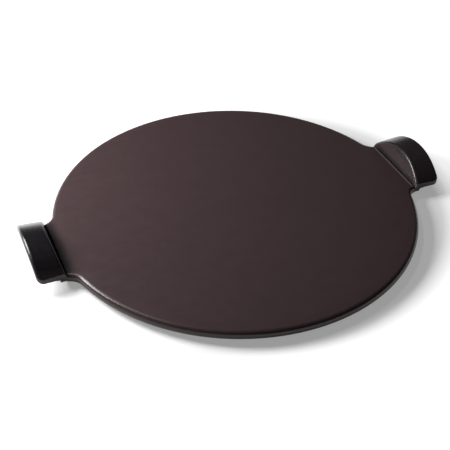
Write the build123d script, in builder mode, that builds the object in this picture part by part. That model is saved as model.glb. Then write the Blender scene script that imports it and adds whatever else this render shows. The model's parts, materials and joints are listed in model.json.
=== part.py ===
from build123d import *
import os

os.makedirs("parts", exist_ok=True)

# Pizza stone: a round stoneware plate with an arched lifting handle at each end.
# Millimetres, +Z up. The origin is on the table, under the middle of the plate.
# +X runs along the line through the two handles.

# Plate. The shares are of its thickness
disc_radius = 184.0
plate_thickness = 9.5
edge_fall_width = 12.0
edge_fall_depth = 0.35
rim_top_share = 0.44
rim_bottom_share = 0.42

# Foot rings under the plate. The outer one stands in from the plate's edge, and the
# share is that of the inner ring's radius in the outer one's
foot_height = 4.5
foot_inset = 34.0
inner_foot_share = 0.5
foot_width = 7.0
foot_edge_round = 1.6

# Handles: plan sizes from the joint plane outward
joint_step = 2.4
shoulder_reach = 4.6
handle_depth = 27.5
handle_bulge = 2.2
handle_root_width = 83.9
handle_tip_width = 88.6
handle_corner_round = 6.0

# Handles: arched slab. The rises are measured from the plate's top face at the joint
# plane, and the drops from there down to the handle's sides
arch_rise = 18.1
arch_drop = 18.2
arch_tilt = 5.5
vault_rise = 10.0
vault_drop = 18.9
vault_tilt = 8.0
crown_edge_round = 3.0
mouth_edge_round = 1.6
root_allowance = 2.0

# Handles: leaning wall between the seam and the crown edge of the arch
wall_lean = 16.2
wall_thickness = 7.5
wall_inlay = 0.6
wall_inner_round = 3.0

# Seam between the plate and a handle. The plate's edge is rounded down to where the
# handle's wall starts
slip_thickness = 0.6
seam_round = 2.4

# Glaze
glaze_thickness = 0.4
bare_margin = 8.0

plate_bottom = foot_height
plate_top = plate_bottom + plate_thickness
plate_middle = plate_bottom + plate_thickness / 2
rim_top_round = plate_thickness * rim_top_share
rim_bottom_round = plate_thickness * rim_bottom_share
outer_foot_radius = disc_radius - foot_inset
inner_foot_radius = outer_foot_radius * inner_foot_share
level_radius = disc_radius - edge_fall_width
fall_radius = (edge_fall_width**2 + edge_fall_depth**2) / 2 / edge_fall_depth
joint_reach = disc_radius + joint_step
handle_reach = joint_reach + handle_depth
total_reach = handle_reach + handle_bulge
half_tip = handle_tip_width / 2
half_span = max(handle_root_width, handle_tip_width) / 2
arch_radius = (half_span**2 + arch_drop**2) / 2 / arch_drop
vault_radius = (half_span**2 + vault_drop**2) / 2 / vault_drop

# Rounding of the inside corner between the disc and the side of a handle. It ends on
# the side's straight line, at the shoulder reach
flank_way = Vector(handle_depth, half_tip - handle_root_width / 2).normalized()
flank_end = Vector(joint_reach, handle_root_width / 2) + flank_way * shoulder_reach / flank_way.X
flank_distance = flank_end.dot(flank_way.rotate(Axis.Z, 90))
shoulder_round = (flank_end.dot(flank_end) - disc_radius**2) / 2 / (disc_radius - flank_distance)

# Leaning face of the wall over the seam
wall_face = Plane(
    origin=(joint_reach, 0, plate_top - seam_round),
    x_dir=(0, 1, 0),
    z_dir=Vector(1, 0, 0).rotate(Axis.Y, wall_lean),
)


# Edges between the upright side walls of a piece and the faces above and below them
def rim_edges(piece):
    upright = piece.faces().filter_by(lambda f: abs(f.normal_at().Z) < 0.01)
    return upright.filter_by(Axis.X, reverse=True).edges().filter_by(Axis.Z, reverse=True)


# Edges that one face shares with the upright side walls of its piece
def side_edges(piece, face):
    own = face.edges()
    return rim_edges(piece).filter_by(lambda e: e in own)


# Plan of the whole stone, drawn in by the given skin: the disc, both handles,
# their rounded outer corners and the soft inside corners at the shoulders
def plan_outline(skin):
    tip = half_tip - skin
    buried = handle_root_width - half_tip - skin
    with BuildSketch() as plan:
        Circle(disc_radius - skin)
        for side in (1, -1):
            start = side * (joint_reach - handle_depth)
            reach = side * (handle_reach - skin)
            with BuildLine():
                Polyline((reach, tip), (start, buried), (start, -buried), (reach, -tip))
                ThreePointArc((reach, tip), (reach + side * handle_bulge, 0), (reach, -tip))
            make_face()
        corners = plan.vertices().filter_by(lambda v: abs(v.X) > joint_reach)
        fillet(corners, handle_corner_round - skin)
        shoulders = plan.vertices().filter_by(lambda v: abs(v.X) < joint_reach and abs(v.Y) > buried)
        fillet(shoulders, shoulder_round + skin)
    return plan.sketch


# Plate without its feet, drawn in by the given skin: the top face falls softly
# towards the rim, the rim is rounded, and so is the top edge over each seam
def plate_body(skin):
    long_reach = joint_reach + root_allowance
    bend = seam_round - skin
    with BuildPart() as body:
        with BuildSketch(Plane.XY.offset(plate_bottom + skin)):
            add(plan_outline(skin))
            Rectangle(2 * long_reach, 2 * total_reach, mode=Mode.INTERSECT)
        extrude(amount=plate_thickness - 2 * skin)
        with BuildSketch(Plane.XZ):
            with Locations((level_radius, plate_top - fall_radius)):
                Circle(fall_radius - skin)
            Rectangle(level_radius, plate_top - skin, align=Align.MIN)
            Rectangle(total_reach, plate_top, align=Align.MIN, mode=Mode.INTERSECT)
        revolve(mode=Mode.INTERSECT)
        fillet(rim_edges(body).filter_by(lambda e: e.center().Z > plate_middle), rim_top_round - skin)
        fillet(rim_edges(body).filter_by(lambda e: e.center().Z < plate_middle), rim_bottom_round - skin)
        split(bisect_by=Plane.YZ.offset(joint_reach), keep=Keep.BOTTOM)
        split(bisect_by=Plane.YZ.offset(-joint_reach), keep=Keep.TOP)
        with BuildSketch(Plane.XZ):
            with Locations((joint_reach - bend, plate_top - seam_round)):
                Rectangle(2 * seam_round, 2 * seam_round, align=Align.MIN)
                Circle(bend, mode=Mode.SUBTRACT)
            mirror(about=Plane.YZ)
        extrude(amount=total_reach, both=True, mode=Mode.SUBTRACT)
    return body.part


# Round-topped bar that points outward along +X and climbs by the tilt. Its rise and
# radius are those at the joint plane
def arched_bar(rise, radius, tilt, low):
    way = Vector(1, 0, 0).rotate(Axis.Y, -tilt)
    crest = plate_top + rise - handle_depth * way.Z / way.X
    with BuildPart() as bar:
        with BuildSketch(Plane.YZ.offset(joint_reach - handle_depth)):
            with Locations((0, crest - radius)):
                Circle(radius)
            with Locations((0, low)):
                Rectangle(2 * total_reach, total_reach, align=(Align.CENTER, Align.MIN), mode=Mode.INTERSECT)
        extrude(amount=3 * handle_depth, dir=way)
    return bar.part


# Space for the fingers under the right handle, grown by the given skin, with a
# rounded corner where the vault meets the wall
def finger_space(skin):
    bar = arched_bar(vault_rise + skin, vault_radius + skin, vault_tilt, -arch_rise)
    with BuildPart() as space:
        add(bar)
        split(bisect_by=wall_face.offset(wall_thickness - skin), keep=Keep.TOP)
        back = space.faces().filter_by(lambda f: f.normal_at().X < 0).sort_by(SortBy.AREA)[-1]
        fillet(back.edges().sort_by(Axis.Z)[-1], wall_inner_round + skin)
    return space.part


# Wall that closes the finger space towards the plate. Its edges are let into the
# slab, and its foot is rounded like the rim of the plate beside it
def handle_wall(skin):
    bar = arched_bar(vault_rise + wall_inlay, vault_radius + wall_inlay, vault_tilt, -arch_rise)
    space = finger_space(skin)
    inset = wall_inlay + skin
    with BuildPart() as wall:
        add(bar)
        split(bisect_by=wall_face.offset(skin), keep=Keep.TOP)
        split(bisect_by=wall_face.offset(wall_thickness + 2 * wall_inner_round), keep=Keep.BOTTOM)
        with BuildSketch():
            add(plan_outline(inset))
        extrude(amount=total_reach, mode=Mode.INTERSECT)
        with BuildSketch(Plane.YZ.offset(joint_reach - root_allowance)) as section:
            with Locations((0, plate_bottom + skin)):
                Rectangle(handle_root_width - 2 * inset, total_reach, align=(Align.CENTER, Align.MIN))
            fillet(section.vertices().sort_by(Axis.Y)[:2], rim_bottom_round - inset)
        extrude(amount=handle_depth, mode=Mode.INTERSECT)
        add(space, mode=Mode.SUBTRACT)
    return wall.part


# Right handle, drawn in by the given skin: an arched slab with rounded edges, closed
# towards the plate by the leaning wall and cut flat at the joint plane
def handle_body(skin):
    slab = arched_bar(arch_rise - skin, arch_radius - skin, arch_tilt, -arch_rise)
    vault = arched_bar(vault_rise + skin, vault_radius + skin, vault_tilt, -2 * arch_rise)
    wall = handle_wall(skin)
    with BuildPart() as body:
        add(slab)
        add(vault, mode=Mode.SUBTRACT)
        with BuildSketch(Plane.XY.offset(-arch_rise)):
            add(plan_outline(skin))
        extrude(amount=total_reach, mode=Mode.INTERSECT)
        split(bisect_by=Plane.YZ.offset(joint_reach - root_allowance), keep=Keep.TOP)
        mouth = body.faces().filter_by(GeomType.EXTRUSION).sort_by(Axis.Z)[0]
        fillet(side_edges(body, mouth), mouth_edge_round - skin)
        split(bisect_by=wall_face.offset(skin), keep=Keep.TOP)
        crown = body.faces().sort_by(Axis.Z)[-1]
        fillet(crown.edges(), crown_edge_round - skin)
        add(wall)
        split(bisect_by=Plane.YZ.offset(joint_reach), keep=Keep.TOP)
    return body.part


glazed_plate = plate_body(0)
bare_plate = plate_body(glaze_thickness)
glazed_handle = handle_body(0)
bare_handle = handle_body(glaze_thickness)

# Plate of fired clay with its two foot rings, cut back at both ends for the slip
with BuildPart() as plate:
    add(bare_plate)
    split(bisect_by=Plane.YZ.offset(joint_reach - slip_thickness), keep=Keep.BOTTOM)
    split(bisect_by=Plane.YZ.offset(slip_thickness - joint_reach), keep=Keep.TOP)
    with BuildSketch():
        for foot_radius in (outer_foot_radius, inner_foot_radius):
            Circle(foot_radius)
            Circle(foot_radius - foot_width, mode=Mode.SUBTRACT)
    extrude(amount=plate_bottom + glaze_thickness)
    fillet(plate.faces().sort_by(Axis.Z)[:2].edges(), foot_edge_round)
plate.part.label = "plate"
export_step(plate.part, "parts/plate.step")

# Glaze over the plate's top, its rim and the outer margin of its underside
with BuildPart() as plate_glaze:
    add(glazed_plate)
    add(bare_plate, mode=Mode.SUBTRACT)
    with BuildSketch():
        Circle(disc_radius - bare_margin)
    extrude(amount=plate_middle, mode=Mode.SUBTRACT)
plate_glaze.part.label = "plate_glaze"
export_step(plate_glaze.part, "parts/plate_glaze.step")

# Layer of fired slip that joins the right handle to the plate
with BuildPart() as slip_right:
    add(bare_plate)
    split(bisect_by=Plane.YZ.offset(joint_reach - slip_thickness), keep=Keep.TOP)
slip_right.part.label = "slip_right"
export_step(slip_right.part, "parts/slip_right.step")

# Layer of fired slip that joins the left handle to the plate
with BuildPart() as slip_left:
    add(bare_plate)
    split(bisect_by=Plane.YZ.offset(slip_thickness - joint_reach), keep=Keep.BOTTOM)
slip_left.part.label = "slip_left"
export_step(slip_left.part, "parts/slip_left.step")

# Right handle of fired clay
with BuildPart() as handle_right:
    add(bare_handle)
handle_right.part.label = "handle_right"
export_step(handle_right.part, "parts/handle_right.step")

# Left handle of fired clay
with BuildPart() as handle_left:
    add(bare_handle)
    mirror(about=Plane.YZ, mode=Mode.REPLACE)
handle_left.part.label = "handle_left"
export_step(handle_left.part, "parts/handle_left.step")

# Glaze all round the right handle
with BuildPart() as handle_glaze_right:
    add(glazed_handle)
    add(bare_handle, mode=Mode.SUBTRACT)
handle_glaze_right.part.label = "handle_glaze_right"
export_step(handle_glaze_right.part, "parts/handle_glaze_right.step")

# Glaze all round the left handle
with BuildPart() as handle_glaze_left:
    add(handle_glaze_right.part)
    mirror(about=Plane.YZ, mode=Mode.REPLACE)
handle_glaze_left.part.label = "handle_glaze_left"
export_step(handle_glaze_left.part, "parts/handle_glaze_left.step")
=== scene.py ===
import json
import math

import bpy
from mathutils import Matrix, Vector


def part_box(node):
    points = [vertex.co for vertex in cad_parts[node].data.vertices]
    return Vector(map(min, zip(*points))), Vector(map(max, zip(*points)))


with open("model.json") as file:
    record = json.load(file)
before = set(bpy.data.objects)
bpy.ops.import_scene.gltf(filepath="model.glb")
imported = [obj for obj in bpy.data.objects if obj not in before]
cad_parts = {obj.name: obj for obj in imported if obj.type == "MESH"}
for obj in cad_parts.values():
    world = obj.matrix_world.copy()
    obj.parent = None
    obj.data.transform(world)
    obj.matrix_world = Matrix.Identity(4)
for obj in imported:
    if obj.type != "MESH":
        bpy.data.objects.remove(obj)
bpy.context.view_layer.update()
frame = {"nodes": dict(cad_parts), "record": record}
nodes = frame["nodes"]
scene = bpy.context.scene
scene.view_settings.view_transform = "Standard"

# Places that the looks follow, in metres: the height of the cooking face, the distance of
# the seams from the middle, and half the length of a seam
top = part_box("plate_glaze")[1][2]
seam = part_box("plate_glaze")[1][0]
half_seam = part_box("slip_right")[1][1]

# Stripes of the glaze, in metres. Each pair says where a stripe fades in or out. Heights are
# measured from the cooking face
# The first pair places painted shade: the glaze darkens below the cooking face, on the rim and handle
# sides
side_shade_heights = (-0.0028, 0.0004)
satin_heights = (-0.0012, -0.0002)

# Distances measured outward from a seam
wall_fade = (0.0038, 0.0054)
# Painted shadow of the left handle, as a dark band on the plate beside the left seam
seam_shadow_fade = (-0.0109, -0.0042)
# Painted highlight along the right seam's ridge
ridge_start = (-0.0034, -0.0022)
ridge_end = (-0.0016, -0.0008)
# Painted shade in the crease at the foot of each wall
crease_start = (-0.0010, -0.0002)
crease_end = (0.0010, 0.0020)

# Distances measured along a seam, from its ends
seam_shadow_ends = (-0.0065, 0.0005)
ridge_ends = (-0.0065, 0.0015)
crease_ends = (-0.0085, -0.0005)

# Half the side of the square floor
floor_reach = 6.0

# Round the stone the floor is lifted less. The zone is an oval, longer along X
oval_reach = 0.3
oval_narrowing = 0.87
oval_shares = (0.37, 0.28)


# Camera, fitted to the photograph. Its height is measured from the cooking face

picture_width = 450
focal_length = 926.42
turn = math.radians(-0.45)
sideways = 0.3 / focal_length
cam_data = bpy.data.cameras.new("camera")
cam = bpy.data.objects.new("camera", cam_data)
scene.collection.objects.link(cam)
scene.camera = cam
across = Vector((0.92347774, -0.38334965, 0.01522867))
upward = Vector((0.22676158, 0.57741933, 0.78432525))
toward = Vector((-0.30946414, -0.72085363, 0.62016287))
pose = Matrix((across, upward, toward)).transposed().to_4x4()
pose = Matrix.Translation(Vector((-0.30458, -0.68467, 0.56498 + top))) @ pose
cam.matrix_world = Matrix.Rotation(turn, 4, "Z") @ pose @ Matrix.Rotation(sideways, 4, "Y")
cam_data.sensor_width = 36
cam_data.lens = focal_length / picture_width * cam_data.sensor_width


# Node helpers

class Tree:
    """A material's nodes, made and linked in short calls."""

    def __init__(self, name):
        self.material = bpy.data.materials.new(name)
        self.material.use_nodes = True
        self.nodes = self.material.node_tree.nodes
        self.links = self.material.node_tree.links
        self.nodes.clear()
        self.shader = self.nodes.new("ShaderNodeBsdfPrincipled")
        self.out = self.nodes.new("ShaderNodeOutputMaterial")
        self.links.new(self.shader.outputs[0], self.out.inputs["Surface"])
        self.place = self.nodes.new("ShaderNodeTexCoord").outputs["Object"]

    def put(self, socket, value):
        if isinstance(value, bpy.types.NodeSocket):
            self.links.new(value, socket)
        else:
            socket.default_value = value

    def coordinates(self):
        node = self.nodes.new("ShaderNodeSeparateXYZ")
        self.links.new(self.place, node.inputs[0])
        return node.outputs

    def stretch(self, vector, scale):
        node = self.nodes.new("ShaderNodeMapping")
        self.links.new(vector, node.inputs["Vector"])
        node.inputs["Scale"].default_value = scale
        return node.outputs[0]

    def noise(self, scale, detail=4.0, rough=0.55, vector=None, warp=0.0):
        node = self.nodes.new("ShaderNodeTexNoise")
        self.links.new(vector or self.place, node.inputs["Vector"])
        node.inputs["Scale"].default_value = scale
        node.inputs["Detail"].default_value = detail
        node.inputs["Roughness"].default_value = rough
        node.inputs["Distortion"].default_value = warp
        return node.outputs["Fac"]

    def dots(self, scale, vector=None):
        node = self.nodes.new("ShaderNodeTexVoronoi")
        self.links.new(vector or self.place, node.inputs["Vector"])
        node.inputs["Scale"].default_value = scale
        return node.outputs["Distance"]

    def ramp(self, value, *stops):
        node = self.nodes.new("ShaderNodeValToRGB")
        self.links.new(value, node.inputs[0])
        bar = node.color_ramp
        while len(bar.elements) < len(stops):
            bar.elements.new(0.5)
        for element, (place, color) in zip(bar.elements, stops):
            element.position = place
            element.color = (*color, 1)
        return node.outputs[0]

    def math(self, kind, a, b=0.0):
        node = self.nodes.new("ShaderNodeMath")
        node.operation = kind
        self.put(node.inputs[0], a)
        self.put(node.inputs[1], b)
        return node.outputs[0]

    def span(self, value, low, high, to_low, to_high):
        node = self.nodes.new("ShaderNodeMapRange")
        for i, x in enumerate((value, low, high, to_low, to_high)):
            self.put(node.inputs[i], x)
        return node.outputs[0]

    def fade(self, value, origin, ends, to_low, to_high):
        """A span whose two ends are measured from an origin."""
        return self.span(value, origin + ends[0], origin + ends[1], to_low, to_high)

    def blend(self, factor, a, b):
        node = self.nodes.new("ShaderNodeMix")
        node.data_type = "RGBA"
        self.put(node.inputs[0], factor)
        for socket, value in ((node.inputs[6], a), (node.inputs[7], b)):
            if isinstance(value, tuple):
                value = (*value, 1)
            self.put(socket, value)
        return node.outputs[2]

    def bump(self, height, strength, distance, normal=None):
        node = self.nodes.new("ShaderNodeBump")
        node.inputs["Strength"].default_value = strength
        node.inputs["Distance"].default_value = distance
        self.links.new(height, node.inputs["Height"])
        if normal:
            self.links.new(normal, node.inputs["Normal"])
        return node.outputs[0]


def linear(r, g, b):
    """sRGB 0 to 255 as linear colour."""
    shares = (r / 255, g / 255, b / 255)
    return tuple(c / 12.92 if c <= 0.04045 else ((c + 0.055) / 1.055) ** 2.4 for c in shares)


# Materials

def seam_marks(t, color, place, shade_color):
    """Brown inside the lips of the walls; painted shadow, a dark band at the left seam; a painted
    highlight, a light line at the right one; and painted shade, a dark crease at both."""
    right = place["X"]
    left = t.math("MULTIPLY", right, -1.0)
    out = t.math("ABSOLUTE", right)
    side = t.math("ABSOLUTE", place["Y"])
    color = t.blend(t.fade(out, seam, wall_fade, 0.6, 0.0), color, linear(63, 49, 51))
    # Painted shadow: the left handle's shadow, a dark band on the plate beside the left seam
    seam_shadow = t.fade(left, seam, seam_shadow_fade, 0.0, 0.8)
    seam_shadow = t.math("MULTIPLY", seam_shadow, t.fade(side, half_seam, seam_shadow_ends, 1.0, 0.0))
    color = t.blend(seam_shadow, color, shade_color)
    # Painted highlight: a light line along the right seam's ridge, where the edge catches the lamp
    ridge_highlight = t.fade(right, seam, ridge_start, 0.0, 1.0)
    ridge_highlight = t.math("MULTIPLY", ridge_highlight, t.fade(right, seam, ridge_end, 1.0, 0.0))
    ridge_highlight = t.math("MULTIPLY", ridge_highlight, t.fade(side, half_seam, ridge_ends, 0.7, 0.0))
    color = t.blend(ridge_highlight, color, linear(128, 114, 116))
    # Painted shade: a dark line in the crease at the foot of each wall
    crease_shade = t.fade(out, seam, crease_start, 0.0, 1.0)
    crease_shade = t.math("MULTIPLY", crease_shade, t.fade(out, seam, crease_end, 1.0, 0.0))
    crease_shade = t.math("MULTIPLY", crease_shade, t.fade(side, half_seam, crease_ends, 0.8, 0.0))
    return t.blend(crease_shade, color, shade_color)


def glaze_material(name, deep, body, thin, shade_color, face_roughness):
    """Dark glaze: cloudy, faintly brushed and dimpled, glossier below the cooking face, where
    painted shade darkens the rim and handle sides; the seam marks add painted shade and a painted
    highlight."""
    t = Tree(name)
    place = t.coordinates()
    cloud = t.noise(9.0, 3.0, 0.5, warp=0.4)
    mottle = t.noise(85.0, 5.0, 0.6)
    brushed = t.noise(60.0, 4.0, 0.6, t.stretch(t.place, (0.5, 7.0, 3.0)))
    base = t.ramp(cloud, (0.30, deep), (0.70, body))
    fleck = t.ramp(mottle, (0.36, deep), (0.52, body), (0.68, thin))
    color = t.blend(0.35, base, fleck)
    color = t.blend(t.span(brushed, 0.40, 0.66, 0.0, 0.15), color, thin)
    color = t.blend(t.span(t.dots(420.0), 0.02, 0.10, 0.5, 0.0), color, linear(26, 19, 21))
    # Painted shade: the colour darkens below the cooking face, on the rim and handle sides
    side_shade = t.fade(place["Z"], top, side_shade_heights, 1.0, 0.0)
    color = t.blend(side_shade, color, t.blend(0.3, shade_color, color))
    t.put(t.shader.inputs["Base Color"], seam_marks(t, color, place, shade_color))
    t.put(t.shader.inputs["Specular IOR Level"], 0.32)
    rough = t.fade(place["Z"], top, satin_heights, 0.22, face_roughness)
    rough = t.math("ADD", rough, t.span(mottle, 0.3, 0.7, -0.025, 0.025))
    rough = t.math("ADD", rough, t.span(brushed, 0.35, 0.7, -0.02, 0.03))
    t.put(t.shader.inputs["Roughness"], rough)
    low = t.bump(cloud, 0.15, 0.001)
    fine = t.bump(mottle, 0.08, 0.0004, low)
    t.put(t.shader.inputs["Normal"], t.bump(t.noise(600.0, 2.0, 0.5), 0.05, 0.0002, fine))
    return t.material


def clay_material():
    """Bare fired stoneware: sandy buff clay with dark iron specks."""
    t = Tree("fired_clay")
    cloud = t.noise(14.0, 4.0, 0.55)
    grain = t.noise(420.0, 6.0, 0.7)
    color = t.ramp(cloud, (0.3, linear(150, 118, 92)), (0.7, linear(176, 144, 116)))
    color = t.blend(t.span(grain, 0.35, 0.7, 0.0, 0.4), color, linear(200, 172, 142))
    color = t.blend(t.span(t.dots(260.0), 0.05, 0.16, 0.8, 0.0), color, linear(70, 48, 38))
    t.put(t.shader.inputs["Base Color"], color)
    t.put(t.shader.inputs["Roughness"], t.span(grain, 0.3, 0.7, 0.72, 0.92))
    sandy = t.bump(grain, 0.5, 0.0004)
    t.put(t.shader.inputs["Normal"], t.bump(cloud, 0.2, 0.001, sandy))
    return t.material


def slip_material():
    """Fired joining slip: finer and darker than the clay."""
    t = Tree("fired_slip")
    cloud = t.noise(40.0, 4.0, 0.6)
    grain = t.noise(700.0, 3.0, 0.6)
    color = t.ramp(cloud, (0.3, linear(118, 88, 68)), (0.7, linear(138, 106, 82)))
    t.put(t.shader.inputs["Base Color"], color)
    t.put(t.shader.inputs["Roughness"], t.span(grain, 0.3, 0.7, 0.7, 0.85))
    t.put(t.shader.inputs["Normal"], t.bump(grain, 0.3, 0.0003))
    return t.material


# The last colour of each glaze is its painted shade colour, for the sides below the cooking face and
# the seams
plate_finish = glaze_material(
    "brown_glaze", linear(54, 42, 44), linear(60, 47, 49), linear(67, 54, 53), linear(22, 18, 20), 0.36
)
handle_finish = glaze_material(
    "dark_glaze", linear(34, 30, 33), linear(40, 35, 38), linear(52, 44, 46), linear(14, 13, 15), 0.25
)
finishes = {"clay": clay_material(), "slip": slip_material()}
for part in frame["record"]["subparts"]:
    node = nodes[part["node"]]
    node.data.materials.clear()
    glaze = plate_finish if part["node"] == "plate_glaze" else handle_finish
    node.data.materials.append(finishes.get(part["material_slot"], glaze))


# Floor, light and background

def seen_directly(tree):
    """1 for camera, glossy and transmission rays, 0 for the light that falls on the object."""
    path = tree.nodes.new("ShaderNodeLightPath")
    seen = path.outputs["Is Camera Ray"]
    for name in ("Is Glossy Ray", "Is Transmission Ray"):
        most = tree.nodes.new("ShaderNodeMath")
        most.operation = "MAXIMUM"
        tree.links.new(seen, most.inputs[0])
        tree.links.new(path.outputs[name], most.inputs[1])
        seen = most.outputs[0]
    return seen


def floor_material(level, near_lift, lift):
    """Pale stage colour. The lift whitens it where it is seen, less so round the stone."""
    t = Tree("floor_white")
    oval = t.nodes.new("ShaderNodeTexGradient")
    oval.gradient_type = "SPHERICAL"
    t.put(oval.inputs[0], t.stretch(t.place, (oval_narrowing / oval_reach, 1 / oval_reach, 0)))
    lifted = t.span(oval.outputs["Fac"], *oval_shares, near_lift, lift)
    t.put(t.shader.inputs["Base Color"], (level, level, level, 1))
    t.put(t.shader.inputs["Roughness"], 0.9)
    t.put(t.shader.inputs["Specular IOR Level"], 0.1)
    t.put(t.shader.inputs["Emission Color"], (1, 1, 1, 1))
    seen = seen_directly(t.material.node_tree)
    t.put(t.shader.inputs["Emission Strength"], t.math("MULTIPLY", lifted, seen))
    return t.material


floor_mesh = bpy.data.meshes.new("floor")
corners = [(-1, -1), (1, -1), (1, 1), (-1, 1)]
floor_mesh.from_pydata([(x * floor_reach, y * floor_reach, 0) for x, y in corners], [], [(0, 1, 2, 3)])
floor_mesh.materials.append(floor_material(level=0.72, near_lift=0.3, lift=0.8))
floor = bpy.data.objects.new("floor", floor_mesh)
scene.collection.objects.link(floor)


def soft_light(name, azimuth, elevation, distance, size, power):
    """Square soft lamp in the given direction, turned to the middle of the stone."""
    data = bpy.data.lights.new(name, "AREA")
    data.shape = "SQUARE"
    data.size = size
    data.energy = power
    lamp = bpy.data.objects.new(name, data)
    scene.collection.objects.link(lamp)
    a, e = math.radians(azimuth), math.radians(elevation)
    way = Vector((math.cos(e) * math.cos(a), math.cos(e) * math.sin(a), math.sin(e)))
    lamp.location = way * distance
    lamp.rotation_euler = way.to_track_quat("Z", "Y").to_euler()


soft_light("key_softbox", azimuth=150, elevation=34, distance=0.64, size=0.29, power=7.5)
soft_light("overhead_softbox", azimuth=128, elevation=64, distance=1.6, size=0.17, power=1.8)


def studio_world(dim, horizon_rise):
    """White horizon where it is seen or mirrored, and a dim plain sky as light."""
    world = bpy.data.worlds.new("studio")
    world.use_nodes = True
    tree = world.node_tree
    sky = tree.nodes["Background"]
    sky.inputs["Color"].default_value = (1, 1, 1, 1)
    direction = tree.nodes.new("ShaderNodeTexCoord")
    parts = tree.nodes.new("ShaderNodeSeparateXYZ")
    horizon = tree.nodes.new("ShaderNodeMapRange")
    horizon.inputs["From Min"].default_value = horizon_rise[1]
    horizon.inputs["From Max"].default_value = horizon_rise[0]
    shown = tree.nodes.new("ShaderNodeMath")
    shown.operation = "MULTIPLY"
    level = tree.nodes.new("ShaderNodeMapRange")
    level.inputs["To Min"].default_value = dim
    tree.links.new(direction.outputs["Generated"], parts.inputs[0])
    tree.links.new(parts.outputs["Z"], horizon.inputs["Value"])
    tree.links.new(horizon.outputs[0], shown.inputs[0])
    tree.links.new(seen_directly(tree), shown.inputs[1])
    tree.links.new(shown.outputs[0], level.inputs["Value"])
    tree.links.new(level.outputs[0], sky.inputs["Strength"])
    return world


scene.world = studio_world(dim=0.04, horizon_rise=(0.05, 0.22))
